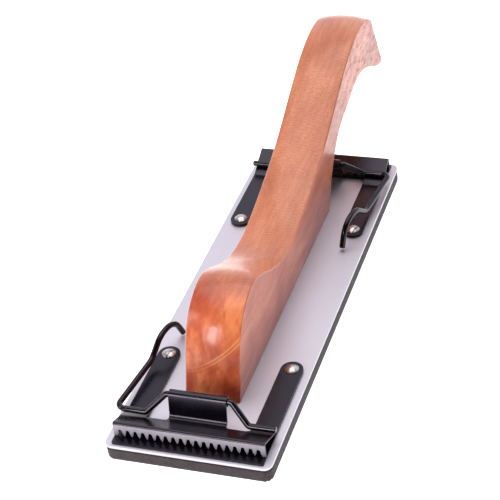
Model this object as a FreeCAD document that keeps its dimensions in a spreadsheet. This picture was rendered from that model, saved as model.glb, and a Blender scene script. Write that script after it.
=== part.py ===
import FreeCAD, Part
import math
import os
import Sketcher
from FreeCAD import Rotation, Vector

# A hand sander for abrasive strips: an aluminium plate with a foam pad glued under it, a long wooden
# handle screwed on from below, and at each end a toothed spring clip that a wire lever opens.
# Frame: +Z up, +Y from the low front knob to the overhanging grip, origin at the centre of the foam's
# sanding face. Lengths are in millimetres.

document = FreeCAD.newDocument("HandSander")
sheet = document.addObject("Spreadsheet::Sheet", "Sizes")

SIZES = {
    # plate and pad
    "plate_width": 80.0,
    "plate_length": 240.0,
    "plate_thickness": 1.5,
    "plate_corner": 4.0,
    "foam_thickness": 7.0,
    "recess_gap": 0.4,
    # handle
    "handle_thickness": 27.0,
    "handle_edge": 0.9,
    "handle_heel": 5.0,
    "handle_toe": 1.2,
    "screw_pitch": 55.0,
    "screw_radius": 2.0,
    "screw_length": 22.0,
    "screw_head_radius": 4.0,
    "screw_head_height": 1.8,
    "screw_crown": 0.6,
    "screw_taper": 3.0,
    # rivets
    "rivet_across": 31.0,
    "rivet_inset": 64.0,
    "rivet_radius": 1.6,
    "rivet_head_radius": 3.4,
    "rivet_head_height": 1.5,
    "rivet_brim": 0.3,
    "rivet_tail_radius": 2.7,
    "rivet_tail_height": 0.8,
    # clip base, a flat U of sheet
    "base_gauge": 0.8,
    "clip_half_width": 36.5,
    "base_front": 1.4,
    "base_rear": 17.0,
    "base_corner": 1.0,
    "leg_width": 11.0,
    "leg_end": 69.5,
    # spring sheet: legs, ramp, toothed jaw and tab
    "spring_gauge": 0.9,
    "foot_inset": 23.0,
    "foot_lift": 0.1,
    "foot_clearance": 0.15,
    "jaw_half_width": 36.5,
    "jaw_face": 6.1,
    "jaw_crown": 8.5,
    "jaw_bend": 0.75,
    "jaw_gap": 0.3,
    "window_front": 16.8,
    "window_corner": 2.0,
    "tab_half_width": 14.0,
    "tab_root": 2.5,
    "tab_run": 0.3,
    "tab_fold": 100.0,
    "tab_bend": 2.5,
    "curl_wrap": 285.0,
    "tooth_count": 19.0,
    "tooth_pitch": 3.68,
    "tooth_depth": 3.9,
    "tooth_slot": 3.5,
    "tooth_root": 0.6,
    "tooth_overrun": 1.0,
    # wire lever
    "wire_radius": 1.5,
    "wire_clearance": 0.08,
    "curl_inset": 24.1,
    "curl_height": 14.0,
}
for row, (alias, number) in enumerate(SIZES.items(), start=1):
    sheet.set(f"A{row}", alias)
    sheet.set(f"B{row}", str(number))
    sheet.setAlias(f"B{row}", alias)
document.recompute()


def size(alias):
    return float(sheet.get(alias))


def new_body(label):
    body = document.addObject("PartDesign::Body", label)
    body.Label = label
    return body


def new_sketch(body, role, name, lift=None):
    """A sketch on one of the body's own origin planes, raised along its normal by an expression."""
    sketch = body.newObject("Sketcher::SketchObject", name)
    plane = next(feature for feature in body.Origin.OriginFeatures if feature.Role == role)
    sketch.AttachmentSupport = [(plane, "")]
    sketch.MapMode = "FlatFace"
    if lift:
        sketch.setExpression("AttachmentOffset.Base.z", lift)
    return sketch


def bind(sketch, constraint, expression):
    index = sketch.addConstraint(constraint)
    sketch.setExpression(f"Constraints[{index}]", expression)


def number_of(expression):
    return float(sheet.evalExpression(expression.replace("Sizes.", "")))


def add_rectangle(sketch, left, right, low, high):
    """Four lines whose corners are held to the sketch origin by the four expressions."""
    x0, x1, y0, y1 = (number_of(text) for text in (left, right, low, high))
    corners = [Vector(x0, y0), Vector(x1, y0), Vector(x1, y1), Vector(x0, y1)]
    first = sketch.GeometryCount
    for index in range(4):
        sketch.addGeometry(Part.LineSegment(corners[index], corners[(index + 1) % 4]))
    for index in range(4):
        here, after = first + index, first + (index + 1) % 4
        sketch.addConstraint(Sketcher.Constraint("Coincident", here, 2, after, 1))
        sketch.addConstraint(Sketcher.Constraint("Horizontal" if index % 2 == 0 else "Vertical", here))
    bind(sketch, Sketcher.Constraint("DistanceX", -1, 1, first, 1, x0), left)
    bind(sketch, Sketcher.Constraint("DistanceY", -1, 1, first, 1, y0), low)
    bind(sketch, Sketcher.Constraint("DistanceX", -1, 1, first + 2, 1, x1), right)
    bind(sketch, Sketcher.Constraint("DistanceY", -1, 1, first + 2, 1, y1), high)


def add_circle(sketch, across, up, radius):
    x, y, r = (number_of(text) for text in (across, up, radius))
    index = sketch.addGeometry(Part.Circle(Vector(x, y), Vector(0, 0, 1), r))
    bind(sketch, Sketcher.Constraint("DistanceX", -1, 1, index, 3, x), across)
    bind(sketch, Sketcher.Constraint("DistanceY", -1, 1, index, 3, y), up)
    bind(sketch, Sketcher.Constraint("Radius", index, r), radius)


def add_outline(sketch, edges):
    """A closed outline whose lines, arcs and curves already meet end to end, held in place."""
    for edge in edges:
        index = sketch.addGeometry(edge)
        sketch.addConstraint(Sketcher.Constraint("Block", index))


def add_polygon(sketch, points):
    corners = [Vector(x, y) for x, y in points]
    add_outline(sketch, [Part.LineSegment(a, b) for a, b in zip(corners, corners[1:] + corners[:1])])


def pad(body, sketch, length, symmetric=False):
    feature = body.newObject("PartDesign::Pad", sketch.Name + "Pad")
    feature.Profile = sketch
    feature.setExpression("Length", length)
    if symmetric:
        feature.SideType = "Symmetric"
    body.Tip = feature
    document.recompute()
    return feature


def pocket(body, sketch, length, reverse=False, symmetric=False):
    """A pocket that has to take material away, so a wrong direction can't pass unseen."""
    before = body.Shape.Volume
    feature = body.newObject("PartDesign::Pocket", sketch.Name + "Pocket")
    feature.Profile = sketch
    feature.setExpression("Length", length)
    feature.Reversed = reverse
    if symmetric:
        feature.SideType = "Symmetric"
    body.Tip = feature
    document.recompute()
    assert body.Shape.Volume < before, f"{feature.Label} cut nothing"
    return feature


def fillet(body, radius, chosen):
    """Rounds the edges of the body's last feature for which chosen(edge) is true."""
    base = body.Tip
    names = [f"Edge{index}" for index, edge in enumerate(base.Shape.Edges, start=1) if chosen(edge)]
    assert names, f"no edge to round on {body.Label}"
    feature = body.newObject("PartDesign::Fillet", body.Name + "Round" + str(len(body.Group)))
    feature.Base = (base, names)
    feature.setExpression("Radius", radius)
    body.Tip = feature
    document.recompute()
    return feature


def revolve(body, sketch):
    feature = body.newObject("PartDesign::Revolution", sketch.Name + "Turned")
    feature.Profile = sketch
    feature.ReferenceAxis = (sketch, ["V_Axis"])
    feature.Angle = 360
    body.Tip = feature
    document.recompute()
    return feature


PLATE_TOP = "Sizes.foam_thickness + Sizes.plate_thickness"


def place(body, x="0", y="0", z="0", half_turn=False):
    """Sets the body's Placement from expressions, turned half round Z at the rear end."""
    if half_turn:
        body.Placement.Rotation = Rotation(Vector(0, 0, 1), 180)
    for axis, expression in (("x", x), ("y", y), ("z", z)):
        body.setExpression("Placement.Base." + axis, expression)


# The two ends: which way a clip part goes, from the middle of its end edge on the plate's top.
ENDS = {"front": (-1, False), "rear": (1, True)}
# A clip's two legs, as seen from outside that end.
SIDES = {"left": -1, "right": 1}


def place_clip_part(body, end):
    sign, half_turn = ENDS[end]
    place(body, y=f"{sign} * Sizes.plate_length / 2", z=PLATE_TOP, half_turn=half_turn)


def rivet_places():
    for end, (end_sign, half_turn) in ENDS.items():
        turn = -1 if half_turn else 1
        for side, side_sign in SIDES.items():
            x = f"{side_sign * turn} * Sizes.rivet_across"
            y = f"{end_sign} * (Sizes.plate_length / 2 - Sizes.rivet_inset)"
            yield f"{end}_{side}_rivet", x, y


def screw_places():
    for name, step in (("front", -1), ("middle", 0), ("rear", 1)):
        yield f"{name}_handle_screw", f"{step} * Sizes.screw_pitch"


def is_upright(edge):
    return edge.BoundBox.XLength < 1e-6 and edge.BoundBox.YLength < 1e-6


def build_plate():
    body = new_body("base_plate")
    outline = new_sketch(body, "XY_Plane", "PlateOutline")
    half_width, half_length = "Sizes.plate_width / 2", "Sizes.plate_length / 2"
    add_rectangle(outline, "-" + half_width, half_width, "-" + half_length, half_length)
    pad(body, outline, "Sizes.plate_thickness")
    fillet(body, "Sizes.plate_corner", is_upright)
    holes = new_sketch(body, "XY_Plane", "PlateHoles")
    for _, x, y in rivet_places():
        add_circle(holes, x, y, "Sizes.rivet_radius")
    for _, y in screw_places():
        add_circle(holes, "0", y, "Sizes.screw_radius")
    pocket(body, holes, "Sizes.plate_thickness", reverse=True)
    place(body, z="Sizes.foam_thickness")


def build_foam():
    """The pad: the same outline as the plate, with a blind recess over each rivet tail and screw head."""
    body = new_body("foam_pad")
    outline = new_sketch(body, "XY_Plane", "FoamOutline")
    half_width, half_length = "Sizes.plate_width / 2", "Sizes.plate_length / 2"
    add_rectangle(outline, "-" + half_width, half_width, "-" + half_length, half_length)
    pad(body, outline, "Sizes.foam_thickness")
    fillet(body, "Sizes.plate_corner", is_upright)
    tails = new_sketch(body, "XY_Plane", "TailRecesses", "Sizes.foam_thickness")
    for _, x, y in rivet_places():
        add_circle(tails, x, y, "Sizes.rivet_tail_radius + Sizes.recess_gap")
    pocket(body, tails, "Sizes.rivet_tail_height + Sizes.recess_gap")
    heads = new_sketch(body, "XY_Plane", "HeadRecesses", "Sizes.foam_thickness")
    for _, y in screw_places():
        add_circle(heads, "0", y, "Sizes.screw_head_radius + Sizes.recess_gap")
    pocket(body, heads, "Sizes.screw_head_height + Sizes.recess_gap")


# Side outline of the handle, (y, height above the plate), from the foot of the knob over the top to
# the heel of the grip, and back along the underside to the rear of the flat base.
HANDLE_TOP = [
    (-82.0, 0.0), (-77.3, 11.5), (-72.9, 23.5), (-66.0, 34.6), (-55.0, 41.3), (-45.0, 42.8),
    (-33.0, 38.8), (-14.0, 28.8), (0.0, 25.0), (16.0, 24.6), (41.0, 29.0), (70.0, 37.2),
    (102.0, 50.6), (130.0, 61.6), (150.0, 65.0), (169.0, 62.3), (178.3, 56.8),
]
GRIP_TIP = (194.2, 22.4)
HANDLE_UNDERSIDE = [
    (190.4, 21.4), (182.0, 24.6), (167.0, 32.8), (150.0, 38.9), (136.0, 39.0), (120.0, 35.6),
    (106.0, 32.8), (92.0, 24.8), (80.0, 11.0), (73.5, 0.0),
]


def smooth_curve(points):
    curve = Part.BSplineCurve()
    curve.interpolate([Vector(y, z) for y, z in points])
    return curve


def build_handle():
    body = new_body("handle")
    side = new_sketch(body, "YZ_Plane", "HandleSide")
    heel, tip, toe = Vector(*HANDLE_TOP[-1]), Vector(*GRIP_TIP), Vector(*HANDLE_UNDERSIDE[0])
    add_outline(side, [
        smooth_curve(HANDLE_TOP),
        Part.LineSegment(heel, tip),
        Part.LineSegment(tip, toe),
        smooth_curve(HANDLE_UNDERSIDE),
        Part.LineSegment(Vector(*HANDLE_UNDERSIDE[-1]), Vector(*HANDLE_TOP[0])),
    ])
    pad(body, side, "Sizes.handle_thickness", symmetric=True)

    def runs_across(edge):
        return edge.BoundBox.YLength < 1e-6 and edge.BoundBox.ZLength < 1e-6

    def at_the_heel(edge):
        return runs_across(edge) and abs(edge.BoundBox.YMin - heel.x) < 1e-3

    def under_the_grip(edge):
        return runs_across(edge) and edge.BoundBox.YMin > heel.x + 1 and edge.BoundBox.ZMin < heel.y / 2

    fillet(body, "Sizes.handle_heel", at_the_heel)
    fillet(body, "Sizes.handle_toe", under_the_grip)
    half = size("handle_thickness") / 2

    def on_a_side(edge):
        box = edge.BoundBox
        return box.XLength < 1e-6 and abs(abs(box.XMin) - half) < 1e-6 and box.ZMax > 1e-3

    fillet(body, "Sizes.handle_edge", on_a_side)
    pilots = new_sketch(body, "XY_Plane", "PilotHoles")
    for _, y in screw_places():
        add_circle(pilots, "0", y, "Sizes.screw_radius")
    pocket(body, pilots, "Sizes.screw_length - Sizes.plate_thickness", reverse=True)
    place(body, z=PLATE_TOP)


def build_screws():
    """Pan-head wood screws, pushed up through the plate; each is turned about its own axis."""
    for label, y in screw_places():
        body = new_body(label)
        profile = new_sketch(body, "XZ_Plane", label + "Profile")
        radius, length = size("screw_radius"), size("screw_length")
        head, height = size("screw_head_radius"), size("screw_head_height")
        taper, crown = size("screw_taper"), size("screw_crown")
        add_polygon(profile, [
            (0, -height), (head - crown, -height), (head, crown - height), (head, 0),
            (radius, 0), (radius, length - taper), (0, length),
        ])
        revolve(body, profile)
        place(body, y=y, z="Sizes.foam_thickness")


def build_rivets():
    """Domed rivets through leg, clip base and plate, upset under the plate."""
    for label, x, y in rivet_places():
        body = new_body(label)
        profile = new_sketch(body, "XZ_Plane", label + "Profile")
        radius, head = size("rivet_radius"), size("rivet_head_radius")
        tail, tail_height = size("rivet_tail_radius"), size("rivet_tail_height")
        seat = size("plate_thickness") + size("base_gauge") + size("spring_gauge")
        brim = size("rivet_brim")
        crest = seat + size("rivet_head_height")
        rise = crest - seat - brim
        dome = (head ** 2 + rise ** 2) / (2 * rise)
        lean = math.asin(head / dome) / 2
        shoulder = Vector(dome * math.sin(lean), crest - dome + dome * math.cos(lean))
        outline = [
            Vector(0, -tail_height), Vector(tail, -tail_height), Vector(tail, 0), Vector(radius, 0),
            Vector(radius, seat), Vector(head, seat), Vector(head, seat + brim),
        ]
        edges = [Part.LineSegment(a, b) for a, b in zip(outline, outline[1:])]
        edges.append(Part.Arc(outline[-1], shoulder, Vector(0, crest)))
        edges.append(Part.LineSegment(Vector(0, crest), outline[0]))
        add_outline(profile, edges)
        revolve(body, profile)
        place(body, x=x, y=y, z="Sizes.foam_thickness")


def leg_outline(sketch, start, side):
    """One leg from start inwards: a strap with a half-round end about its rivet."""
    outer = side * size("clip_half_width")
    inner = side * (size("clip_half_width") - size("leg_width"))
    shoulder = size("leg_end") - size("leg_width") / 2
    crown = Vector((outer + inner) / 2, size("leg_end"))
    add_outline(sketch, [
        Part.LineSegment(Vector(inner, start), Vector(outer, start)),
        Part.LineSegment(Vector(outer, start), Vector(outer, shoulder)),
        Part.Arc(Vector(outer, shoulder), crown, Vector(inner, shoulder)),
        Part.LineSegment(Vector(inner, shoulder), Vector(inner, start)),
    ])


def drill_rivet_holes(body, name, lift, depth, sides):
    holes = new_sketch(body, "XY_Plane", name, lift)
    for side in sides:
        add_circle(holes, f"{side} * Sizes.rivet_across", "Sizes.rivet_inset", "Sizes.rivet_radius")
    pocket(body, holes, depth, reverse=True)


def build_clip_base(end):
    """The flat U that lies on the plate under the spring sheet; its cross strip is the lower jaw."""
    body = new_body(end + "_clip_base")
    strip = new_sketch(body, "XY_Plane", end + "BaseStrip")
    width = "Sizes.clip_half_width"
    add_rectangle(strip, "-" + width, width, "Sizes.base_front", "Sizes.base_rear")
    pad(body, strip, "Sizes.base_gauge")
    for side_name, side in SIDES.items():
        leg = new_sketch(body, "XY_Plane", f"{end}Base{side_name}")
        leg_outline(leg, size("base_rear"), side)
        pad(body, leg, "Sizes.base_gauge")
    inner = size("clip_half_width") - size("leg_width")

    def inside_corner(edge):
        return (is_upright(edge) and abs(edge.BoundBox.YMin - size("base_rear")) < 1e-6
                and abs(abs(edge.BoundBox.XMin) - inner) < 1e-6)

    fillet(body, "Sizes.window_corner", inside_corner)

    def outside_corner(edge):
        return is_upright(edge) and abs(edge.BoundBox.YMin - size("base_front")) < 1e-6

    fillet(body, "Sizes.base_corner", outside_corner)
    drill_rivet_holes(body, end + "BaseHoles", None, "Sizes.base_gauge", SIDES.values())
    place_clip_part(body, end)


def build_spring_legs(end):
    """The flat part of the spring sheet on each side, up to the line where the jaw flexes."""
    for side_name, side in SIDES.items():
        body = new_body(f"{end}_{side_name}_leg")
        strap = new_sketch(body, "XY_Plane", f"{end}Leg{side_name}", "Sizes.base_gauge")
        leg_outline(strap, size("foot_inset"), side)
        pad(body, strap, "Sizes.spring_gauge")
        socket = new_sketch(body, "YZ_Plane", f"{end}Socket{side_name}")
        add_circle(socket, "Sizes.foot_inset",
                   "Sizes.base_gauge + Sizes.spring_gauge / 2 + Sizes.foot_lift",
                   "Sizes.spring_gauge / 2 + Sizes.foot_clearance")
        pocket(body, socket, "4 * Sizes.clip_half_width", symmetric=True)
        drill_rivet_holes(body, f"{end}LegHole{side_name}", "Sizes.base_gauge", "Sizes.spring_gauge",
                          [side])
        place_clip_part(body, end)


def polar(centre, radius, degrees):
    return centre + Vector(math.cos(math.radians(degrees)), math.sin(math.radians(degrees))) * radius


def heading(start, end):
    return math.degrees(math.atan2(end.y - start.y, end.x - start.x))


def strip_edges(start, corner, end, bend, gauge):
    """Both faces of a sheet seen edge on, bent once at corner: (line, arc, line) left, then right."""
    first, second = heading(start, corner), heading(corner, end)
    turn = (second - first + 180) % 360 - 180
    reach = bend * math.tan(math.radians(abs(turn) / 2))
    hand = math.copysign(1, turn)
    centre = polar(polar(corner, -reach, first), bend, first + 90 * hand)
    faces = []
    for side in (1, -1):
        radius = bend - side * hand * gauge / 2
        offset_start = polar(start, gauge / 2, first + 90 * side)
        offset_end = polar(end, gauge / 2, second + 90 * side)
        arc = [polar(centre, radius, first - 90 * hand + turn * part) for part in (0, 0.5, 1)]
        faces.append((offset_start, arc, offset_end))
    return faces


def jaw_points():
    """Middle of the sheet: hinge line at the ramp's foot, crown of the jaw, and the flange's lower edge."""
    half = size("spring_gauge") / 2
    foot = Vector(size("foot_inset"), size("base_gauge") + half + size("foot_lift"))
    crown = Vector(size("jaw_face") + half, size("jaw_crown"))
    edge = Vector(crown.x, size("base_gauge") + size("jaw_gap"))
    return foot, crown, edge


def build_jaw(end):
    """The part of the spring sheet that lifts: ramp, toothed jaw, and the tab curled round the wire."""
    body = new_body(end + "_jaw")
    gauge = size("spring_gauge")
    foot, crown, edge = jaw_points()
    ramp = heading(foot, crown)

    sheet_side = new_sketch(body, "YZ_Plane", end + "JawSide")
    left, right = strip_edges(foot, crown, edge, size("jaw_bend"), gauge)
    add_outline(sheet_side, [
        Part.LineSegment(left[0], left[1][0]), Part.Arc(*left[1]), Part.LineSegment(left[1][2], left[2]),
        Part.LineSegment(left[2], right[2]),
        Part.LineSegment(right[2], right[1][2]), Part.Arc(*right[1][::-1]),
        Part.LineSegment(right[1][0], right[0]),
        Part.Arc(right[0], polar(foot, gauge / 2, ramp + 180), left[0]),
    ])
    pad(body, sheet_side, "2 * Sizes.jaw_half_width", symmetric=True)

    inner = "(Sizes.clip_half_width - Sizes.leg_width)"
    window = new_sketch(body, "XY_Plane", end + "Window")
    add_rectangle(window, "-" + inner, inner, "Sizes.window_front", "2 * Sizes.foot_inset")
    pocket(body, window, "2 * Sizes.jaw_crown", reverse=True)
    fillet(body, "Sizes.window_corner",
           lambda edge: is_upright(edge) and abs(edge.BoundBox.YMin - size("window_front")) < 1e-6)

    # The tab leaves the ramp at the window's front edge, folds up and meets the curl at a tangent.
    curl = Vector(size("curl_inset"), size("curl_height"))
    curl_radius = size("wire_radius") + size("wire_clearance") + gauge / 2
    slope = -math.cos(math.radians(ramp))
    root = polar(foot, (foot.x - size("window_front") + size("tab_root")) / slope, ramp)
    fold_reach = size("tab_bend") * math.tan(math.radians(size("tab_fold") / 2))
    fold = polar(foot, (foot.x - size("window_front") - size("tab_run")) / slope - fold_reach, ramp)
    rise = heading(fold, curl) + math.degrees(math.asin(curl_radius / fold.distanceToPoint(curl)))
    tangent = polar(curl, curl_radius, rise + 90)
    wrap = size("curl_wrap")
    left, right = strip_edges(root, fold, tangent, size("tab_bend"), gauge)
    curl_arcs = []
    for radius in (curl_radius + gauge / 2, curl_radius - gauge / 2):
        curl_arcs.append([polar(curl, radius, rise + 90 - wrap * part) for part in (0, 0.5, 1)])
    outer, hollow = curl_arcs
    tab_side = new_sketch(body, "YZ_Plane", end + "TabSide")
    add_outline(tab_side, [
        Part.LineSegment(left[0], left[1][0]), Part.Arc(*left[1]), Part.LineSegment(left[1][2], outer[0]),
        Part.Arc(*outer), Part.LineSegment(outer[2], hollow[2]), Part.Arc(*hollow[::-1]),
        Part.LineSegment(hollow[0], right[1][2]), Part.Arc(*right[1][::-1]),
        Part.LineSegment(right[1][0], right[0]), Part.LineSegment(right[0], left[0]),
    ])
    pad(body, tab_side, "2 * Sizes.tab_half_width", symmetric=True)

    # Teeth: one round-topped slot in the flange, repeated along the jaw.
    slot = new_sketch(body, "XZ_Plane", end + "ToothSlot", "-Sizes.jaw_face - 2 * Sizes.spring_gauge")
    first = -(size("tooth_count") - 1) / 2 * size("tooth_pitch")
    half, depth = size("tooth_slot") / 2, size("tooth_depth")
    top_radius = size("tooth_root")
    shoulder = edge.y + depth - top_radius
    below = edge.y - size("tooth_overrun")
    add_outline(slot, [
        Part.LineSegment(Vector(first - top_radius, shoulder), Vector(first - half, edge.y)),
        Part.LineSegment(Vector(first - half, edge.y), Vector(first - half, below)),
        Part.LineSegment(Vector(first - half, below), Vector(first + half, below)),
        Part.LineSegment(Vector(first + half, below), Vector(first + half, edge.y)),
        Part.LineSegment(Vector(first + half, edge.y), Vector(first + top_radius, shoulder)),
        Part.Arc(Vector(first + top_radius, shoulder), Vector(first, edge.y + depth),
                 Vector(first - top_radius, shoulder)),
    ])
    cut = pocket(body, slot, "3 * Sizes.spring_gauge", reverse=True)
    row = body.newObject("PartDesign::LinearPattern", end + "Teeth")
    row.Originals = [cut]
    row.Direction = (slot, ["H_Axis"])
    row.setExpression("Length", "(Sizes.tooth_count - 1) * Sizes.tooth_pitch")
    row.setExpression("Occurrences", "Sizes.tooth_count")
    body.Tip = row
    document.recompute()
    place_clip_part(body, end)


# The wire's route in the clip's frame, from its free end to the tip of the arm: along the free side,
# up into the curl, down to the arm's side, back along the arm, and over the finger arch to the tip.
WIRE_ROUTE = [
    (37.8, 18.6, 6.2), (24.8, 18.6, 6.1), (15.8, 24.1, 14.0), (-15.8, 24.1, 14.0), (-24.8, 18.6, 6.1),
    (-39.7, 18.6, 6.4), (-35.2, 53.6, 6.2), (-33.2, 62.8, 13.8), (-30.8, 75.0, 13.6), (-29.6, 80.4, 1.7),
]
WIRE_BENDS = [2.6, 2.4, 2.4, 2.6, 3.6, 9.0, 12.0, 11.0]


def bent_path(points, radii):
    """Straight runs joined by tangent arcs, one radius at each inner point."""
    points = [Vector(*point) for point in points]
    edges = []
    run_start = points[0]
    for before, corner, after, radius in zip(points, points[1:], points[2:], radii):
        back = (before - corner).normalize()
        onward = (after - corner).normalize()
        half_angle = back.getAngle(onward) / 2
        reach = radius / math.tan(half_angle)
        entry, leave = corner + back * reach, corner + onward * reach
        bisector = (back + onward).normalize()
        middle = corner + bisector * (radius / math.sin(half_angle) - radius)
        edges.append(Part.LineSegment(run_start, entry).toShape())
        edges.append(Part.Arc(entry, middle, leave).toShape())
        run_start = leave
    edges.append(Part.LineSegment(run_start, points[-1]).toShape())
    return Part.Wire(edges)


def build_lever(end):
    """One length of round wire; no workbench body sweeps along a route that leaves its plane."""
    radius = size("wire_radius")
    path = bent_path(WIRE_ROUTE, WIRE_BENDS)
    start, run = Vector(*WIRE_ROUTE[0]), Vector(*WIRE_ROUTE[1]) - Vector(*WIRE_ROUTE[0])
    section = Part.Wire(Part.makeCircle(radius, start, run))
    wire = path.makePipeShell([section], True, True)
    expected = math.pi * radius ** 2 * path.Length
    assert abs(wire.Volume / expected - 1) < 0.01, "the wire's volume is off its length"
    lever = document.addObject("Part::Feature", end + "_lever")
    lever.Label = end + "_lever"
    lever.Shape = wire
    place_clip_part(lever, end)


build_plate()
build_foam()
build_handle()
build_screws()
for end_name in ENDS:
    build_clip_base(end_name)
    build_spring_legs(end_name)
    build_jaw(end_name)
    build_lever(end_name)
build_rivets()
document.recompute()

for item in document.Objects:
    assert not {"Invalid", "Error"} & set(item.State), f"{item.Label} failed"

os.makedirs("parts", exist_ok=True)
for item in document.Objects:
    if item.TypeId == "PartDesign::Body" or item.TypeId == "Part::Feature":
        shape = item.Shape
        assert not shape.isNull() and shape.isValid(), f"{item.Label} has no valid shape"
        shape.exportStep(f"parts/{item.Label}.step")
        print(f"{item.Label:24s} solids {len(shape.Solids)}  volume {shape.Volume:9.1f}")
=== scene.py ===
import math

import bmesh
import bpy
from mathutils import Matrix, Vector


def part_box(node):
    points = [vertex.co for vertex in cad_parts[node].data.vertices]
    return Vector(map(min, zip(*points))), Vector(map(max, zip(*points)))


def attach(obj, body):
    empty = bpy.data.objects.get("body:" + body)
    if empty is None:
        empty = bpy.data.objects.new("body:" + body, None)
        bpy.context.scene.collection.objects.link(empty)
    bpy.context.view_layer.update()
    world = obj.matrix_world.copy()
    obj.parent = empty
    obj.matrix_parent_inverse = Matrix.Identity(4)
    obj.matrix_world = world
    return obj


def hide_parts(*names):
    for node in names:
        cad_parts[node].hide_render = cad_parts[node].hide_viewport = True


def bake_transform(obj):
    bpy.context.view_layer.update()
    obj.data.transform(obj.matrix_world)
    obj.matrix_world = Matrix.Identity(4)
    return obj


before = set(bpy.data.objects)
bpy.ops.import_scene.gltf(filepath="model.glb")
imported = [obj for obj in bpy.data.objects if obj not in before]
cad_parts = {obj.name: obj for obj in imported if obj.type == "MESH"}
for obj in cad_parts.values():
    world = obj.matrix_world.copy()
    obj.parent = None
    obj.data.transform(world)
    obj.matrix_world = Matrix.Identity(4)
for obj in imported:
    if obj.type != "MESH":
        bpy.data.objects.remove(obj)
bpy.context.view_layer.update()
MM = 0.001

# ---------------------------------------------------------------------------------------------
# Studio: a white table under a broad softbox, with one softbox in front of the sander and one at
# its side, in a room that is pale behind it and dim in front. None of it belongs to the sander.

TABLE_SIZE = 6.0
TABLE_GLOW = 1.10
ROOM_DIM_FROM, ROOM_PALE_FROM = -0.20, 0.70
ROOM_STRENGTH = 0.9


class Signal:
    """A socket of a shader tree; arithmetic on signals adds Math nodes to the tree."""

    def __init__(self, tree, socket=None):
        self.tree = tree
        self.socket = socket

    def node(self, kind, settings=(), sockets=(), output=0):
        """Any other node: its type, then its settings, then the values or links of its sockets."""
        made = self.tree.nodes.new(kind)
        for name, value in dict(settings).items():
            if name == "stops":
                ramp = made.color_ramp
                while len(ramp.elements) < len(value):
                    ramp.elements.new(0.5)
                for element, (position, colour) in zip(ramp.elements, value):
                    element.position = position
                    element.color = (*colour, 1.0)
            else:
                setattr(made, name, value)
        for name, value in dict(sockets).items():
            if isinstance(value, Signal):
                self.tree.links.new(value.socket, made.inputs[name])
            else:
                made.inputs[name].default_value = value
        return Signal(self.tree, made.outputs[output])

    def maths(self, operation, *values):
        """A Math node, with the values on its sockets in their order."""
        return self.node("ShaderNodeMath", {"operation": operation}, dict(enumerate(values)))

    def __add__(self, other):
        return self.maths("ADD", self, other)

    def __sub__(self, other):
        return self.maths("SUBTRACT", self, other)

    def __rsub__(self, other):
        return self.maths("SUBTRACT", other, self)

    def __mul__(self, other):
        return self.maths("MULTIPLY", self, other)

    def __pow__(self, other):
        return self.maths("POWER", self, other)

    __radd__ = __add__
    __rmul__ = __mul__

    def __abs__(self):
        return self.maths("ABSOLUTE", self)

    def wave(self, length):
        """A sine wave of that length, from 0 to 1."""
        return self.maths("SINE", self * (math.tau / length)) * 0.5 + 0.5

    def between(self, low, high):
        """0 below low, 1 above high, and a straight ramp from one to the other."""
        return self.node("ShaderNodeMapRange", {"clamp": True},
                         {"Value": self, "From Min": low, "From Max": high})

    def mix(self, first, second):
        """The first colour where the signal is 0 and the second where it is 1."""
        colours = [c if isinstance(c, Signal) else (*c, 1.0) for c in (first, second)]
        return self.node("ShaderNodeMix", {"data_type": "RGBA"},
                         {0: self, 6: colours[0], 7: colours[1]}, 2)

    def noise(self, scale, detail=2.0, roughness=0.5, distortion=0.0):
        """Noise at this place, from about 0 to 1."""
        return self.node("ShaderNodeTexNoise", (), {
            "Vector": self, "Scale": scale, "Detail": detail, "Roughness": roughness,
            "Distortion": distortion})

    def stretched(self, across, along, up, turn=(0.0, 0.0, 0.0)):
        """This place scaled on each axis, then turned; a small scale draws a pattern out."""
        return self.node("ShaderNodeMapping", (), {
            "Vector": self, "Scale": (across, along, up), "Rotation": turn})

    def axes(self):
        """The three parts of a place or direction, as signals."""
        split = self.node("ShaderNodeSeparateXYZ", (), {0: self})
        outputs = split.socket.node.outputs
        return [Signal(self.tree, outputs[axis]) for axis in "XYZ"]

    def bump(self, strength, distance):
        """The normal of a surface with this relief, of that many metres for a height of 1."""
        return self.node("ShaderNodeBump", (), {
            "Strength": strength, "Distance": distance, "Height": self})


def new_finish(name, **constants):
    """A material, the signal of its object coordinates, and a function that feeds its shader."""
    material = bpy.data.materials.new(name)
    material.use_nodes = True
    tree = material.node_tree
    shader = next(node for node in tree.nodes if node.type == "BSDF_PRINCIPLED")

    def feed(**sockets):
        for label, value in sockets.items():
            socket = shader.inputs[label.replace("_", " ")]
            if isinstance(value, Signal):
                tree.links.new(value.socket, socket)
            elif socket.type == "RGBA":
                socket.default_value = (*value, 1.0)
            else:
                socket.default_value = value

    feed(**constants)
    place = Signal(tree).node("ShaderNodeTexCoord", output="Object")
    return material, place, feed


def begin(add, **sizes):
    """Adds a primitive with nothing else selected, places it for good and opens it for editing."""
    bpy.ops.object.select_all(action="DESELECT")
    add(**sizes)
    bpy.ops.object.transform_apply(location=True, rotation=True, scale=True)
    bpy.ops.object.mode_set(mode="EDIT")
    return bpy.context.object


def cover(piece, material):
    """Gives a piece this material and no other."""
    piece.data.materials.clear()
    piece.data.materials.append(material)


def close(piece, name, material):
    """Ends the editing of a piece and gives it its name and its material."""
    bpy.ops.object.mode_set(mode="OBJECT")
    piece.name = piece.data.name = name
    cover(piece, material)
    return piece


table_white, table_place, feed_table = new_finish("table_white", Roughness=0.6)
table_mottle = table_place.noise(6.0).between(0.3, 0.7)
feed_table(Base_Color=table_mottle.mix((0.90, 0.90, 0.91), (0.93, 0.93, 0.94)))
feed_table(Emission_Color=(1.0, 1.0, 1.0), Emission_Strength=TABLE_GLOW)

table = begin(bpy.ops.mesh.primitive_grid_add, size=TABLE_SIZE, x_subdivisions=8,
              y_subdivisions=8)
close(table, "table", table_white)

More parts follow.
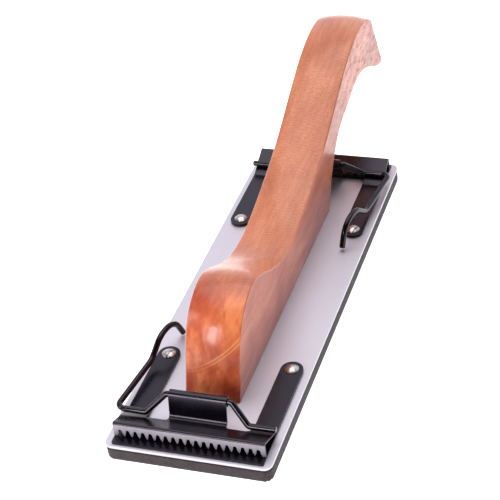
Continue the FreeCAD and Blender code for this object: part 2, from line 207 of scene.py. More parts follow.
# The room: pale behind the sander, dim on the side it is looked at from.
room = bpy.data.worlds.new("room")
bpy.context.scene.world = room
room.use_nodes = True
room_air = next(node for node in room.node_tree.nodes if node.type == "BACKGROUND")
room_side = Signal(room.node_tree).node("ShaderNodeTexCoord", output="Generated").axes()[1]
room_paleness = room_side.between(ROOM_DIM_FROM, ROOM_PALE_FROM)
room_tone = room_paleness.mix((0.06, 0.06, 0.07), (1.22, 1.17, 1.34))
room.node_tree.links.new(room_tone.socket, room_air.inputs["Color"])
room_air.inputs["Strength"].default_value = ROOM_STRENGTH

# Each light: its name, where it stands, what it points at, its width and height, power, colour.
LIGHTS = [
    ("overhead_softbox", (-0.1, 0.2, 1.3), (0.0, 0.0, 0.0), (1.2, 1.2), 10.0, (1.0, 0.99, 0.98)),
    ("front_softbox", (-0.345, -1.02, 0.46), (0.0, -0.05, 0.03), (0.20, 0.46), 5.0,
     (1.0, 0.94, 0.96)),
    ("side_softbox", (-0.9, -0.5, 0.6), (0.0, 0.0, 0.02), (0.5, 0.5), 4.0, (1.0, 0.98, 0.96)),
]
for light_name, stand, target, (light_width, light_height), power, light_colour in LIGHTS:
    lamp = bpy.data.lights.new(light_name, "AREA")
    lamp.shape = "RECTANGLE"
    lamp.size, lamp.size_y = light_width, light_height
    lamp.energy = power
    lamp.color = light_colour
    holder = bpy.data.objects.new(light_name, lamp)
    bpy.context.scene.collection.objects.link(holder)
    holder.location = stand
    holder.rotation_euler = (Vector(stand) - Vector(target)).to_track_quat("Z", "Y").to_euler()

# The camera: its bearing round the sander, height and tilt in degrees, then distance and lens.
CAMERA_TARGET = Vector((-0.0183, 0.0319, 0.0085))
CAMERA_BEARING, CAMERA_HEIGHT, CAMERA_TILT = (math.radians(a) for a in (22.66, 36.49, -7.99))
CAMERA_DISTANCE = 0.820
CAMERA_LENS = 113.2
toward_camera = Vector((
    math.sin(CAMERA_BEARING) * math.cos(CAMERA_HEIGHT),
    -math.cos(CAMERA_BEARING) * math.cos(CAMERA_HEIGHT),
    math.sin(CAMERA_HEIGHT),
))
level_right = (-toward_camera).cross(Vector((0, 0, 1))).normalized()
level_up = level_right.cross(-toward_camera)
picture_right = math.cos(CAMERA_TILT) * level_right + math.sin(CAMERA_TILT) * level_up
picture_up = -math.sin(CAMERA_TILT) * level_right + math.cos(CAMERA_TILT) * level_up
camera = bpy.data.objects.new("camera", bpy.data.cameras.new("camera"))
bpy.context.scene.collection.objects.link(camera)
camera.data.lens = CAMERA_LENS
camera.matrix_world = (Matrix.Translation(CAMERA_TARGET + toward_camera * CAMERA_DISTANCE)
                       @ Matrix((picture_right, picture_up, toward_camera)).transposed().to_4x4())
bpy.context.scene.camera = camera
bpy.context.scene.view_settings.view_transform = "Standard"

# ---------------------------------------------------------------------------------------------
# Pad: one slab of dark closed-cell foam, die-cut to the plate's outline and glued under it, with
# a blind recess over each rivet tail and screw head. The cut sides show the cells.

FOAM_VOXEL = 0.9 * MM
FOAM_CELL_RELIEF = 0.06 * MM
FOAM_LUMP = 2.2 * MM
FOAM_CELLS_IN_METRE = 1900.0
DARK_BAND_FROM, DARK_BAND_FULL = 6.1 * MM, 6.5 * MM
TRIANGLE_MERGE = 0.002 * MM


def copy_of_node(name, new_name):
    """A copy of a CAD node with its loose triangles joined, open for editing."""
    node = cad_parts[name]
    bpy.ops.object.select_all(action="DESELECT")
    twin = bpy.data.objects.new(new_name, node.data.copy())
    twin.data.name = new_name
    bpy.context.scene.collection.objects.link(twin)
    bpy.context.view_layer.objects.active = twin
    twin.select_set(True)
    bpy.ops.object.mode_set(mode="EDIT")
    bpy.ops.mesh.customdata_custom_splitnormals_clear()
    bpy.ops.mesh.select_all(action="SELECT")
    bpy.ops.mesh.remove_doubles(threshold=TRIANGLE_MERGE)
    return twin


def modify(piece, kind, **settings):
    """Adds a modifier, sets it and applies it."""
    bpy.ops.object.select_all(action="DESELECT")
    bpy.context.view_layer.objects.active = piece
    piece.select_set(True)
    modifier = piece.modifiers.new(kind.lower(), kind)
    for name, value in settings.items():
        setattr(modifier, name, value)
    bpy.ops.object.modifier_apply(modifier=modifier.name)


foam_dark, foam_place, feed_foam = new_finish(
    "foam_dark", Roughness=0.95, Specular_IOR_Level=0.25, Sheen_Weight=0.12, Sheen_Roughness=0.6)
foam_cells = foam_place.node("ShaderNodeTexVoronoi", {"feature": "F1"},
                             {"Vector": foam_place, "Scale": FOAM_CELLS_IN_METRE})
foam_clumps = foam_place.noise(420.0, 3.0, 0.6)
foam_tone = (foam_cells * 0.5 + foam_clumps * 0.7).between(0.25, 0.80)
foam_height = foam_place.axes()[2]
# The foam is darkened along its top edge, just under the plate, from 6.1 mm up.
foam_top_band = foam_height.between(DARK_BAND_FROM, DARK_BAND_FULL)
foam_colour = foam_tone.mix((0.016, 0.0115, 0.013), (0.057, 0.043, 0.045))
feed_foam(Base_Color=foam_top_band.mix(foam_colour, (0.016, 0.014, 0.014)))
feed_foam(Normal=(foam_cells * -1.0 + foam_clumps).bump(0.55, 0.25 * MM))

foam = copy_of_node("foam_pad", "foam_slab")
close(foam, "foam_slab", foam_dark)
modify(foam, "REMESH", mode="VOXEL", voxel_size=FOAM_VOXEL)
modify(foam, "SMOOTH", factor=0.5, iterations=2)
cell_relief = bpy.data.textures.new("cell_relief", "CLOUDS")
cell_relief.noise_scale = FOAM_LUMP
cell_relief.noise_depth = 2
modify(foam, "DISPLACE", texture=cell_relief, texture_coords="LOCAL", strength=FOAM_CELL_RELIEF,
       mid_level=0.5)
bpy.ops.object.shade_smooth()
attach(foam, "sander")
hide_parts("foam_pad")

# ---------------------------------------------------------------------------------------------
# Plate: 1.5 mm aluminium sheet, sheared to size with its corners rounded, drilled for the rivets
# and screws, and given a fine satin brush along its length. Its edges are broken by hand.

PLATE_EDGE_BREAK = 0.22 * MM
FLAT_WITHIN, SHARP_FROM, SMOOTH_UNDER = (math.radians(angle) for angle in (0.4, 40, 35))


def soften(piece, width, segments):
    """Joins flat neighbours, then rounds every sharp edge of a closed piece a little."""
    bpy.ops.object.mode_set(mode="EDIT")
    bpy.ops.mesh.select_all(action="SELECT")
    bpy.ops.mesh.dissolve_limited(angle_limit=FLAT_WITHIN)
    bpy.ops.object.mode_set(mode="OBJECT")
    modify(piece, "BEVEL", width=width, segments=segments, limit_method="ANGLE",
           angle_limit=SHARP_FROM, harden_normals=False)
    bpy.ops.object.shade_smooth_by_angle(angle=SMOOTH_UNDER)
    modify(piece, "WEIGHTED_NORMAL", keep_sharp=True)


aluminium, plate_place, feed_plate = new_finish("brushed_aluminium", Metallic=1.0)
brush = plate_place.stretched(3200.0, 26.0, 3200.0).noise(1.0, 3.0, 0.6)
brush_fine = plate_place.stretched(9000.0, 90.0, 9000.0).noise(1.0, 2.0, 0.5)
handling = plate_place.noise(22.0, 4.0, 0.6).between(0.35, 0.75)
plate_tone = brush * 0.5 + handling * 0.5
feed_plate(Base_Color=plate_tone.mix((0.55, 0.533, 0.577), (0.645, 0.629, 0.672)))
feed_plate(Roughness=0.50 + handling * 0.06 + brush * 0.10)
feed_plate(Normal=(brush + brush_fine * 0.5).bump(0.10, 0.05 * MM))

plate = copy_of_node("base_plate", "aluminium_plate")
close(plate, "aluminium_plate", aluminium)
soften(plate, PLATE_EDGE_BREAK, 3)
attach(plate, "sander")
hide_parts("base_plate")

# ---------------------------------------------------------------------------------------------
# Clip bases: a flat U of 0.8 mm black steel at each end, between the plate and the spring sheet.
# Its cross strip is the lower jaw that the teeth press the abrasive on.

BASE_EDGE_BREAK = 0.16 * MM


def black_sheet(name):
    """Black stoved paint on sheet steel: an even film with a slight ripple and soft clouding."""
    material, place, feed = new_finish(
        name, Specular_IOR_Level=0.42, Specular_Tint=(0.92, 0.84, 1.0))
    ripple = place.noise(260.0, 2.0, 0.5)
    grit = place.noise(2600.0, 2.0, 0.5)
    cloud = place.noise(70.0, 3.0, 0.6).between(0.3, 0.75)
    feed(Base_Color=cloud.mix((0.0014, 0.0013, 0.0026), (0.0040, 0.0036, 0.0070)))
    feed(Roughness=0.22 + cloud * 0.08)
    feed(Normal=(ripple * 0.6 + grit * 0.05).bump(0.10, 0.10 * MM))
    return material


sheet_black = black_sheet("sheet_black")
for end in ("front", "rear"):
    base = copy_of_node(f"{end}_clip_base", f"{end}_base_strip")
    close(base, f"{end}_base_strip", sheet_black)
    soften(base, BASE_EDGE_BREAK, 2)
    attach(base, "sander")
    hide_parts(f"{end}_clip_base")

# ---------------------------------------------------------------------------------------------
# Spring sheets: one piece of 0.9 mm spring steel at each end. Two flat legs are riveted down; in
# front of them the sheet ramps up, turns down into a toothed jaw, and a tab curls round the wire.

SHEET_GAUGE = 0.9 * MM
SHEET_EDGE_BREAK = 0.13 * MM
SHEET_MERGE = 0.004 * MM
PLATE_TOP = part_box("base_plate")[1].z
PLATE_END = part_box("base_plate")[0].y
# The clip's own sizes, in mm: insets from the plate's end and heights above the plate.
JAW_HALF_WIDTH = 36.5
LEG_INSIDE, LEG_MIDDLE = 25.5, 31.0
LEG_HEIGHT = 1.25
RIVET_INSET = 64.0
FOOT = Vector((23.0, 1.35))
CROWN = Vector((6.55, 8.5))
FLANGE_EDGE = 1.1
CROWN_BEND, FOOT_BEND = 0.75, 5.0
WINDOW_FRONT, WINDOW_ROUND = 16.8, 2.5
TAB_HALF_WIDTH, TAB_FLARE = 14.0, 2.0
TAB_FOLD, TAB_BEND = Vector((19.83, 2.73)), 2.5
CURL = Vector((24.1, 14.0))
CURL_RADIUS, CURL_WRAP = 2.03, 285.0
TEETH, TOOTH_PITCH = 19, 3.68
SLOT_TOP = 5.0
SLOT_HALF_WIDTHS = [(0.1, 1.80), (1.1, 1.76), (2.5, 1.12), (SLOT_TOP, 0.62)]
SLOT_ROUND, SLOT_ROUND_STEPS = 0.55, 5
REFLECTION_BELOW_CROWN, REFLECTION_WITHIN = 0.4, 0.05
# How many steps each bend is drawn in, and how near, in metres, counts as the same place or level.
CROWN_STEPS, FOOT_STEPS, TAB_STEPS, CURL_STEPS = 8, 6, 12, 26
ROUND_STEPS, TIP_STEPS = 6, 8
SAME_PLACE, SAME_LEVEL = 1e-6, 1e-7


def polar(centre, radius, degrees):
    """The point at that distance and bearing from a point of the side view."""
    angle = math.radians(degrees)
    return centre + Vector((math.cos(angle), math.sin(angle))) * radius


def heading(start, end):
    """The bearing of a run of the side view, in degrees."""
    return math.degrees(math.atan2(end.y - start.y, end.x - start.x))


def bend(before, corner, after, radius, steps):
    """Points of the arc that rounds a corner of a side-view line."""
    first, second = heading(before, corner), heading(corner, after)
    turn = (second - first + 180) % 360 - 180
    hand = math.copysign(1, turn)
    reach = radius * math.tan(math.radians(abs(turn) / 2))
    centre = polar(polar(corner, -reach, first), radius, first + 90 * hand)
    return [polar(centre, radius, first - 90 * hand + turn * step / steps)
            for step in range(steps + 1)]


def in_clip(across, inset, height):
    """A point of the front clip: across, in from the plate's end, and above the plate, in mm."""
    return Vector((across * MM, PLATE_END + inset * MM, PLATE_TOP + height * MM))


def choose(piece, mode, wanted):
    """Selects, in the open piece, only the vertices, edges or faces that are wanted."""
    bpy.ops.mesh.select_mode(type=mode)
    bpy.ops.mesh.select_all(action="DESELECT")
    mesh = bmesh.from_edit_mesh(piece.data)
    group = {"VERT": mesh.verts, "EDGE": mesh.edges, "FACE": mesh.faces}[mode]
    for element in group:
        if wanted(element):
            element.select_set(True)
    mesh.select_flush_mode()
    bmesh.update_edit_mesh(piece.data)


def extrude_along(points):
    """Draws the selected edges out through the points of a side-view line."""
    for here, there in zip(points, points[1:]):
        step = Vector((0, there.x - here.x, there.y - here.y)) * MM
        bpy.ops.mesh.extrude_edges_move(TRANSFORM_OT_translate={"value": step})


def at_inset(edge, inset, low, high):
    """True for an edge that runs across the clip at that inset, between two distances across."""
    middle = (edge.verts[0].co + edge.verts[1].co) / 2
    level = abs(edge.verts[0].co.y - edge.verts[1].co.y) < SAME_LEVEL
    return (level and abs(middle.y - PLATE_END - inset * MM) < SAME_PLACE
            and low * MM < middle.x < high * MM)


def build_spring_sheet():
    """The sheet's middle surface, drawn out edge by edge from the flange, then given its gauge."""
    flange_bottom = Vector((CROWN.x, FLANGE_EDGE))
    crown_arc = bend(flange_bottom, CROWN, FOOT, CROWN_BEND, CROWN_STEPS)
    slope = (FOOT.y - CROWN.y) / (FOOT.x - CROWN.x)
    window_edge = Vector((WINDOW_FRONT, CROWN.y + slope * (WINDOW_FRONT - CROWN.x)))
    flange_height = crown_arc[0].y - FLANGE_EDGE
    sheet = begin(
        bpy.ops.mesh.primitive_plane_add, size=1.0, rotation=(math.radians(90), 0, 0),
        location=in_clip(0, CROWN.x, FLANGE_EDGE + flange_height / 2))
    bpy.ops.transform.resize(value=(2 * JAW_HALF_WIDTH * MM, 1, flange_height * MM),
                             center_override=in_clip(0, CROWN.x, FLANGE_EDGE + flange_height / 2))
    crown_start = PLATE_TOP + crown_arc[0].y * MM
    choose(sheet, "EDGE", lambda edge: min(v.co.z for v in edge.verts) > crown_start - SAME_PLACE)
    extrude_along(crown_arc + [window_edge])
    for cut in (TAB_HALF_WIDTH + TAB_FLARE, LEG_INSIDE - WINDOW_ROUND):
        for side in (-1, 1):
            bpy.ops.mesh.select_all(action="SELECT")
            bpy.ops.mesh.bisect(plane_co=in_clip(side * cut, 0, 0), plane_no=(1, 0, 0))

    # Legs: down the ramp, over the soft bend at its foot, then flat to the round end.
    leg_level = Vector((RIVET_INSET, LEG_HEIGHT))
    foot_corner = Vector((FOOT.x + (LEG_HEIGHT - FOOT.y) / slope, LEG_HEIGHT))
    foot_arc = bend(window_edge, foot_corner, leg_level, FOOT_BEND, FOOT_STEPS)
    round_angles = [math.pi / 2 * step / ROUND_STEPS for step in range(1, ROUND_STEPS + 1)]
    corner_insets = [WINDOW_FRONT + WINDOW_ROUND * (1 - math.cos(angle)) for angle in round_angles]
    ramp_rows = [Vector((inset, window_edge.y + slope * (inset - WINDOW_FRONT)))
                 for inset in corner_insets]
    leg_rows = [window_edge] + ramp_rows + foot_arc + [leg_level]
    for side in (-1, 1):
        low, high = sorted((side * (LEG_INSIDE - WINDOW_ROUND), side * JAW_HALF_WIDTH))
        choose(sheet, "EDGE", lambda edge: at_inset(edge, WINDOW_FRONT, low, high))
        extrude_along(leg_rows)
        half_width = JAW_HALF_WIDTH - LEG_MIDDLE
        width_now = JAW_HALF_WIDTH - LEG_INSIDE + WINDOW_ROUND
        shift = in_clip(side * JAW_HALF_WIDTH, RIVET_INSET, LEG_HEIGHT)
        bpy.ops.transform.resize(value=(2 * half_width / width_now, 1, 1), center_override=shift)
        for step in range(1, TIP_STEPS + 1):
            angle, before = (math.pi / 2 * s / TIP_STEPS for s in (step, step - 1))
            onward = half_width * (math.sin(angle) - math.sin(before))
            bpy.ops.mesh.extrude_edges_move(
                TRANSFORM_OT_translate={"value": (0, onward * MM, 0)})
            narrowing = max(math.cos(angle), 1e-4) / max(math.cos(before), 1e-4)
            bpy.ops.transform.resize(
                value=(narrowing, 1, 1),
                center_override=in_clip(side * LEG_MIDDLE, RIVET_INSET, LEG_HEIGHT))
        # The window's round corner widens into the leg's straight inner edge.
        inner_rows = list(zip(corner_insets, (WINDOW_ROUND * math.sin(angle)
                                              for angle in round_angles)))
        inner_rows += [(row.x, WINDOW_ROUND) for row in foot_arc]
        inner_x = side * (LEG_INSIDE - WINDOW_ROUND) * MM
        for inset, outward in inner_rows:
            choose(sheet, "VERT", lambda vert: (
                abs(vert.co.x - inner_x) < SAME_PLACE
                and abs(vert.co.y - PLATE_END - inset * MM) < SAME_PLACE))
            bpy.ops.transform.translate(value=(side * outward * MM, 0, 0))

    # Tab: flared at its root, folded up, and curled over the wire.
    rise = heading(TAB_FOLD, CURL) + math.degrees(math.asin(CURL_RADIUS / (CURL - TAB_FOLD).length))
    tangent = polar(CURL, CURL_RADIUS, rise + 90)
    fold_arc = bend(window_edge, TAB_FOLD, tangent, TAB_BEND, TAB_STEPS)
    curl_arc = [polar(CURL, CURL_RADIUS, rise + 90 - CURL_WRAP * step / CURL_STEPS)
                for step in range(CURL_STEPS + 1)]
    tab_rows = [window_edge] + fold_arc + curl_arc
    tab_edge = TAB_HALF_WIDTH + TAB_FLARE
    choose(sheet, "EDGE", lambda edge: at_inset(edge, WINDOW_FRONT, -tab_edge, tab_edge))
    travelled, width = 0.0, tab_edge
    for here, there in zip(tab_rows, tab_rows[1:]):
        travelled += (there - here).length
        flare = max(TAB_FLARE - travelled, 0.0)
        target = TAB_HALF_WIDTH + TAB_FLARE - math.sqrt(TAB_FLARE ** 2 - flare ** 2)
        extrude_along([here, there])
        bpy.ops.transform.resize(value=(target / width, 1, 1), center_override=in_clip(0, 0, 0))
        width = target

    bpy.ops.mesh.select_all(action="SELECT")
    bpy.ops.mesh.remove_doubles(threshold=SHEET_MERGE)
    bpy.ops.mesh.normals_make_consistent(inside=False)
    bpy.ops.object.mode_set(mode="OBJECT")
    modify(sheet, "SOLIDIFY", thickness=SHEET_GAUGE, offset=0.0, use_even_offset=True)
    return sheet


def build_tooth_cutter():
    """Nineteen bell-shaped slots in a row, for cutting the teeth out of the flange."""
    first = -(TEETH - 1) / 2 * TOOTH_PITCH
    below, foot_half_width = SLOT_HALF_WIDTHS[0]
    centre = in_clip(first, CROWN.x, (below + SLOT_TOP) / 2)
    cutter = begin(bpy.ops.mesh.primitive_cube_add, size=1.0, location=centre)
    bpy.ops.transform.resize(
        value=(2 * foot_half_width * MM, 3 * SHEET_GAUGE, (SLOT_TOP - below) * MM),
        center_override=centre)
    for height, _ in SLOT_HALF_WIDTHS[1:-1]:
        bpy.ops.mesh.select_all(action="SELECT")
        bpy.ops.mesh.bisect(plane_co=in_clip(0, 0, height), plane_no=(0, 0, 1))
    for height, half_width in SLOT_HALF_WIDTHS[1:]:
        level = PLATE_TOP + height * MM
        choose(cutter, "VERT", lambda vert: abs(vert.co.z - level) < SAME_PLACE)
        bpy.ops.transform.resize(
            value=(half_width / foot_half_width, 1, 1), center_override=centre)
    top = PLATE_TOP + SLOT_TOP * MM
    choose(cutter, "EDGE", lambda edge: (
        min(v.co.z for v in edge.verts) > top - SAME_PLACE
        and abs(edge.verts[0].co.x - edge.verts[1].co.x) < SAME_LEVEL))
    bpy.ops.mesh.bevel(offset=SLOT_ROUND * MM, offset_type="OFFSET", segments=SLOT_ROUND_STEPS,
                       affect="EDGES")
    bpy.ops.object.mode_set(mode="OBJECT")
    modify(cutter, "ARRAY", count=TEETH, use_relative_offset=False, use_constant_offset=True,
           constant_offset_displace=(TOOTH_PITCH * MM, 0, 0))
    return cutter


def turned_round(piece, name):
    """A copy for the rear end, with its own mesh, turned half round about the upright axis."""
    twin = piece.copy()
    twin.data = piece.data.copy()
    twin.name = twin.data.name = name
    bpy.context.scene.collection.objects.link(twin)
    twin.data.transform(Matrix.Rotation(math.pi, 4, "Z"))
    return twin


# Light metallic grey with streaks for the flange's front face: painted reflection of the bright
# table.
jaw_painted_reflection, jaw_place, feed_jaw = new_finish("jaw_face_painted_reflection", Specular_IOR_Level=0.5)
jaw_streaks = jaw_place.stretched(2200.0, 300.0, 120.0).noise(1.0, 3.0, 0.6)
feed_jaw(Base_Color=jaw_streaks.between(0.3, 0.7).mix((0.30, 0.28, 0.32), (0.37, 0.35, 0.395)))
feed_jaw(Metallic=0.55, Roughness=0.42 + jaw_streaks * 0.16)
feed_jaw(Normal=jaw_streaks.bump(0.12, 0.05 * MM))

front_sheet = build_spring_sheet()
tooth_cutter = build_tooth_cutter()
modify(front_sheet, "BOOLEAN", operation="DIFFERENCE", object=tooth_cutter, solver="EXACT")
bpy.data.objects.remove(tooth_cutter)
close(front_sheet, "front_spring_sheet", sheet_black)
soften(front_sheet, SHEET_EDGE_BREAK, 2)
front_sheet.data.materials.append(jaw_painted_reflection)
bpy.ops.object.mode_set(mode="EDIT")
# The flange's front face, below the crown's bend, gets a light metallic grey: painted reflection of
# the bright table in front of it.
flange_top = PLATE_TOP + (CROWN.y - REFLECTION_BELOW_CROWN) * MM
flange_front = PLATE_END + (CROWN.x * MM - SHEET_GAUGE / 2)
choose(front_sheet, "FACE", lambda face: (
    face.normal.y < -0.9
    and face.calc_center_median().z < flange_top
    and abs(face.calc_center_median().y - flange_front) < REFLECTION_WITHIN * MM))
front_sheet.active_material_index = 1
bpy.ops.object.material_slot_assign()
bpy.ops.object.mode_set(mode="OBJECT")

rear_sheet = turned_round(front_sheet, "rear_spring_sheet")

# Each sheet's placement is baked into its mesh, and the CAD legs and jaw it stands for are hidden.
for end, sheet, turn in (("front", front_sheet, 0.0), ("rear", rear_sheet, math.pi)):
    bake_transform(sheet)
    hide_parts(f"{end}_left_leg", f"{end}_right_leg", f"{end}_jaw")

# ---------------------------------------------------------------------------------------------
# Wire levers: one length of 3 mm black enamelled wire each. It passes through the tab's curl,
# drops to both sides of it, and one side runs back as an arm with an arch for a fingertip.

WIRE_RADIUS = 1.5
WIRE_SIDES = 20
WIRE_ROUTE = [
    (37.8, 18.6, 6.2), (24.8, 18.6, 6.1), (15.8, 24.1, 14.0), (-15.8, 24.1, 14.0),
    (-24.8, 18.6, 6.1), (-39.7, 18.6, 6.4), (-35.2, 53.6, 6.2), (-33.2, 62.8, 13.8),
    (-30.8, 75.0, 13.6), (-29.6, 80.4, 1.7),
]
WIRE_BENDS = [2.6, 2.4, 2.4, 2.6, 3.6, 9.0, 12.0, 11.0]
WIRE_CHAMFER = 0.25
WIRE_STEP, WIRE_LEAST_STEPS = math.radians(7), 4
WIRE_MERGE = 0.001 * MM

wire_black, wire_place, feed_wire = new_finish(
    "wire_black", Specular_IOR_Level=0.38, Specular_Tint=(0.95, 0.88, 1.0))
wire_lumps = wire_place.noise(180.0, 2.0, 0.5)
wire_wear = wire_place.noise(650.0, 4.0, 0.65).between(0.55, 0.8)
feed_wire(Base_Color=wire_wear.mix((0.0014, 0.0012, 0.0018), (0.0060, 0.0050, 0.0056)))
feed_wire(Roughness=0.13 + wire_wear * 0.14)
feed_wire(Normal=(wire_lumps + wire_wear * 0.1).bump(0.15, 0.12 * MM))


def build_wire(route, bends):
    """A ring of vertices drawn along each run and spun round each bend, with chamfered ends."""
    route = [in_clip(*point) for point in route]
    run = (route[1] - route[0]).normalized()
    wire = begin(bpy.ops.mesh.primitive_circle_add, vertices=WIRE_SIDES, radius=WIRE_RADIUS * MM,
                 location=route[0], rotation=run.to_track_quat("Z", "Y").to_euler())
    position = route[0]

    def step_to(target):
        """Draws the ring straight on to a point."""
        nonlocal position
        bpy.ops.mesh.extrude_edges_move(TRANSFORM_OT_translate={"value": target - position})
        position = target

    narrow = 1 - WIRE_CHAMFER / WIRE_RADIUS
    bpy.ops.transform.resize(value=(narrow,) * 3, center_override=position)
    bpy.ops.mesh.edge_face_add()
    choose(wire, "EDGE", lambda edge: True)
    bpy.ops.mesh.extrude_edges_move(TRANSFORM_OT_translate={"value": run * WIRE_CHAMFER * MM})
    position = position + run * WIRE_CHAMFER * MM
    bpy.ops.transform.resize(value=(1 / narrow,) * 3, center_override=position)
    for before, corner, after, radius in zip(route, route[1:], route[2:], bends):
        incoming, outgoing = (corner - before).normalized(), (after - corner).normalized()
        turn = incoming.angle(outgoing)
        reach = radius * MM * math.tan(turn / 2)
        axis = incoming.cross(outgoing).normalized()
        entry, leave = corner - incoming * reach, corner + outgoing * reach
        step_to(entry)
        centre = entry + axis.cross(incoming) * radius * MM
        steps = max(WIRE_LEAST_STEPS, math.ceil(turn / WIRE_STEP))
        for _ in range(steps):
            bpy.ops.mesh.extrude_edges_move(TRANSFORM_OT_translate={"value": (0, 0, 0)})
            mesh = bmesh.from_edit_mesh(wire.data)
            ring = [vert for vert in mesh.verts if vert.select]
            bmesh.ops.rotate(mesh, verts=ring, cent=centre,
                             matrix=Matrix.Rotation(turn / steps, 3, axis))
            bmesh.update_edit_mesh(wire.data)
        position = leave
    last = (route[-1] - route[-2]).normalized()
    step_to(route[-1] - last * WIRE_CHAMFER * MM)
    step_to(route[-1])
    bpy.ops.transform.resize(value=(narrow,) * 3, center_override=position)
    bpy.ops.mesh.edge_face_add()
    bpy.ops.mesh.select_all(action="SELECT")
    bpy.ops.mesh.remove_doubles(threshold=WIRE_MERGE)
    bpy.ops.mesh.normals_make_consistent(inside=False)
    return wire


front_wire = close(build_wire(WIRE_ROUTE, WIRE_BENDS), "front_wire_lever", wire_black)
bpy.ops.object.shade_smooth_by_angle(angle=SMOOTH_UNDER)
rear_wire = turned_round(front_wire, "rear_wire_lever")
for end, wire in (("front", front_wire), ("rear", rear_wire)):
    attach(wire, f"{end}_lever")
    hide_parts(f"{end}_lever")

# ---------------------------------------------------------------------------------------------
# Rivets: nickel-plated steel with low domed heads, one through each leg, the clip base and the
# plate. Their heads keep the fine rings and dents of the setting tool.

nickel, rivet_place, feed_rivet = new_finish("rivet_nickel", Metallic=1.0)
tarnish = rivet_place.noise(900.0, 3.0, 0.6).between(0.35, 0.75)
dents = rivet_place.noise(500.0, 2.0, 0.5)
feed_rivet(Base_Color=tarnish.mix((0.58, 0.53, 0.51), (0.36, 0.32, 0.30)))
feed_rivet(Roughness=0.20 + tarnish * 0.12)
feed_rivet(Normal=dents.bump(0.12, 0.15 * MM))
for end in ("front", "rear"):
    for side in ("left", "right"):
        cover(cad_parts[f"{end}_{side}_rivet"], nickel)

# ---------------------------------------------------------------------------------------------
# Handle: one piece of hardwood sawn to its side outline, sanded to a slight crown across its top,
# front and rear, then stained and lacquered. The knob's front is cut across the grain.

PITH_ACROSS, PITH_HEIGHT, RING_PITCH = -34.0, 75.0 + PLATE_TOP / MM, 3.1
STREAK_RADIUS, STREAK_GAP, STREAK_HALF_WIDTH = 66.9, 1.5, 0.55
RIPPLE_PITCH = 1.9
CROWN_HEIGHT, CROWN_HALF_WIDTH = 1.5, 12.6
CROWN_CUTS = 9
KNOB_BACK, KNOB_FRONT = 38.0, 56.0
KNOB_PAINTED_SHADE_BACK, KNOB_PAINTED_SHADE_FRONT = 35.0, 55.0
MOTTLE_START, MOTTLE_FULL = 30.0, 110.0
FLAME_LEAN = math.radians(-32)
HANDLE_SMOOTH_UNDER = math.radians(40)

wood, wood_place, feed_wood = new_finish("lacquered_wood", Specular_IOR_Level=0.25,
                                         Coat_Roughness=0.21, Coat_IOR=1.5)
wood_mm = wood_place.stretched(1000.0, 1000.0, 1000.0)
across, along, up = wood_mm.axes()
facing = Signal(wood_mm.tree).node("ShaderNodeTexCoord", output="Normal").axes()
side_face = abs(facing[0]).between(0.35, 0.95)
forward = along * -1.0
knob = forward.between(KNOB_BACK, KNOB_FRONT)
end_face = (facing[1] * -1.0).between(-0.30, 0.40) * knob * (1 - side_face)
top_face = facing[2].between(0.25, 0.90)

warp = wood_mm.stretched(1.0, 0.25, 1.0).noise(0.045, 2.0, 0.5) * 10.0
from_pith = ((across - PITH_ACROSS) ** 2.0 + (up - PITH_HEIGHT) ** 2.0) ** 0.5
ring_depth = from_pith + warp + along * 0.03
rings = ring_depth.wave(RING_PITCH)
broad = wood_mm.stretched(1.0, 0.10, 1.0).noise(0.16, 3.0, 0.55).between(0.30, 0.72)
fibres = wood_mm.stretched(1.0, 0.030, 1.0).noise(0.9, 4.0, 0.62).between(0.28, 0.74)
hairs = wood_mm.stretched(1.0, 0.030, 1.0).noise(4.5, 2.0, 0.5).between(0.25, 0.75)
clouds = wood_mm.stretched(1.0, 0.40, 0.8).noise(0.060, 3.0, 0.55, 0.5).between(0.32, 0.70)
flame = wood_mm.stretched(1.0, 0.4, 0.50, (0, FLAME_LEAN, 0)).noise(0.085, 4.0, 0.60, 0.45)
flame = flame.between(0.36, 0.66)
ripple = (along + broad * 5.0).wave(RIPPLE_PITCH)
pores = wood_mm.stretched(1.0, 0.07, 1.0).noise(3.0, 2.0, 0.5).between(0.66, 0.74)

long_grain = broad * 0.20 + fibres * 0.20 + hairs * 0.10 + rings * 0.05 + clouds * 0.36
long_grain = long_grain + ripple * top_face * 0.13
# The knob's top darkens towards its front: painted shade for the sheen it lacks there.
long_grain = long_grain + forward.between(KNOB_PAINTED_SHADE_BACK, KNOB_PAINTED_SHADE_FRONT) * 0.36
mottle = wood_mm.stretched(1.0, 0.40, 1.0).noise(0.42, 4.0, 0.68).between(0.46, 0.66)
mottle = mottle * side_face * along.between(MOTTLE_START, MOTTLE_FULL)
side_grain = clouds * 0.46 + broad * 0.16 + fibres * 0.16 + mottle * 0.26 + 0.06
long_grain = side_face * side_grain + (1 - side_face) * long_grain
end_grain = flame * 0.58 + clouds * 0.14 + hairs * 0.10 + rings * 0.04
shade = end_face * end_grain + (1 - end_face) * long_grain
top_stain = shade.node("ShaderNodeValToRGB", {"stops": [
    (0.15, (0.72, 0.285, 0.124)), (0.45, (0.59, 0.176, 0.067)), (0.90, (0.38, 0.080, 0.026))]},
    {"Fac": shade})
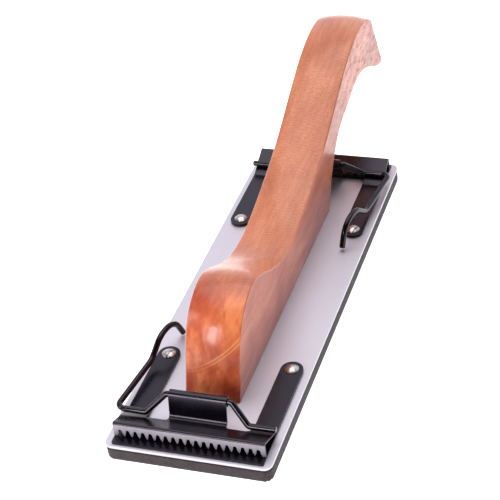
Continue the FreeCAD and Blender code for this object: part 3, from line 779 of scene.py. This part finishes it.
# The sides get the top's stain made darker and a little pinker: painted shade and painted sheen.
side_stain_painted_shade = shade.node("ShaderNodeValToRGB", {"stops": [
    (0.10, (0.68, 0.245, 0.125)), (0.45, (0.49, 0.136, 0.070)), (0.90, (0.28, 0.058, 0.034))]},
    {"Fac": shade})
end_stain = shade.node("ShaderNodeValToRGB", {"stops": [
    (0.05, (0.88, 0.270, 0.090)), (0.38, (0.62, 0.118, 0.034)), (0.78, (0.35, 0.036, 0.010))]},
    {"Fac": shade})
tone = side_face.mix(top_stain, side_stain_painted_shade)
tone = end_face.mix(tone, end_stain)
from_streak = abs(from_pith + warp * 0.15 - STREAK_RADIUS) - STREAK_GAP / 2
streak = (1 - abs(from_streak).between(0.10, STREAK_HALF_WIDTH)) * end_face * hairs
streak = streak * (across + flame * 8.0).between(-10.0, 8.0)
tone = streak.mix(tone, (0.95, 0.44, 0.15))
tone = (pores * 0.30).mix(tone, (0.14, 0.030, 0.012))
feed_wood(Base_Color=tone)
feed_wood(Roughness=0.50 + fibres * 0.15)
feed_wood(Coat_Weight=0.80 - pores * 0.3 - side_face * 0.10 - mottle * 0.5)
tool_marks = wood_mm.stretched(1.0, 0.30, 0.25).noise(0.8, 3.0, 0.6)
relief = (fibres * 0.25 + hairs * 0.10 - pores * 0.3 + tool_marks * 2.0) * (0.05 * MM)
relief = relief + mottle * (0.15 * MM)
feed_wood(Normal=relief.bump(1.0, 1.0))

# The crown: upward faces and the knob's foot rise most along the middle; the underside stays flat.
handle = copy_of_node("handle", "wooden_handle")
for cut in range(1, CROWN_CUTS + 1):
    crown_line = CROWN_HALF_WIDTH * (2 * cut / (CROWN_CUTS + 1) - 1) * MM
    bpy.ops.mesh.select_all(action="SELECT")
    bpy.ops.mesh.bisect(plane_co=(crown_line, 0, 0), plane_no=(1, 0, 0))
close(handle, "wooden_handle", wood)
crowned = handle.vertex_groups.new(name="crowned")
for vertex in handle.data.vertices:
    weight = 1 - (vertex.co.x / (CROWN_HALF_WIDTH * MM)) ** 2
    front_foot = vertex.normal.y < -0.3 and vertex.co.z < PLATE_TOP + SAME_PLACE
    if weight > 0 and (vertex.normal.z > 0 or front_foot):
        crowned.add([vertex.index], weight, "REPLACE")
modify(handle, "DISPLACE", vertex_group="crowned", strength=CROWN_HEIGHT * MM, mid_level=0.0)
bpy.ops.object.mode_set(mode="EDIT")
choose(handle, "VERT", lambda vert: vert.co.z < PLATE_TOP + SAME_PLACE)
bpy.ops.transform.resize(value=(1, 1, 0), center_override=(0, 0, PLATE_TOP))
bpy.ops.object.mode_set(mode="OBJECT")
bpy.ops.object.shade_smooth_by_angle(angle=HANDLE_SMOOTH_UNDER)
modify(handle, "WEIGHTED_NORMAL", keep_sharp=True)
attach(handle, "sander")
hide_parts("handle")

# ---------------------------------------------------------------------------------------------
# Handle screws: three wood screws of zinc-plated steel, driven up through the plate into the
# handle before the pad goes on. The pad hides their heads.

zinc, screw_place, feed_screw = new_finish("screw_zinc", Metallic=1.0)
plating = screw_place.noise(1200.0, 3.0, 0.6)
feed_screw(Base_Color=plating.mix((0.62, 0.60, 0.56), (0.48, 0.47, 0.46)))
feed_screw(Roughness=0.30 + plating * 0.2)
feed_screw(Normal=plating.bump(0.2, 0.1 * MM))
for place_name in ("front", "middle", "rear"):
    cover(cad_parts[f"{place_name}_handle_screw"], zinc)
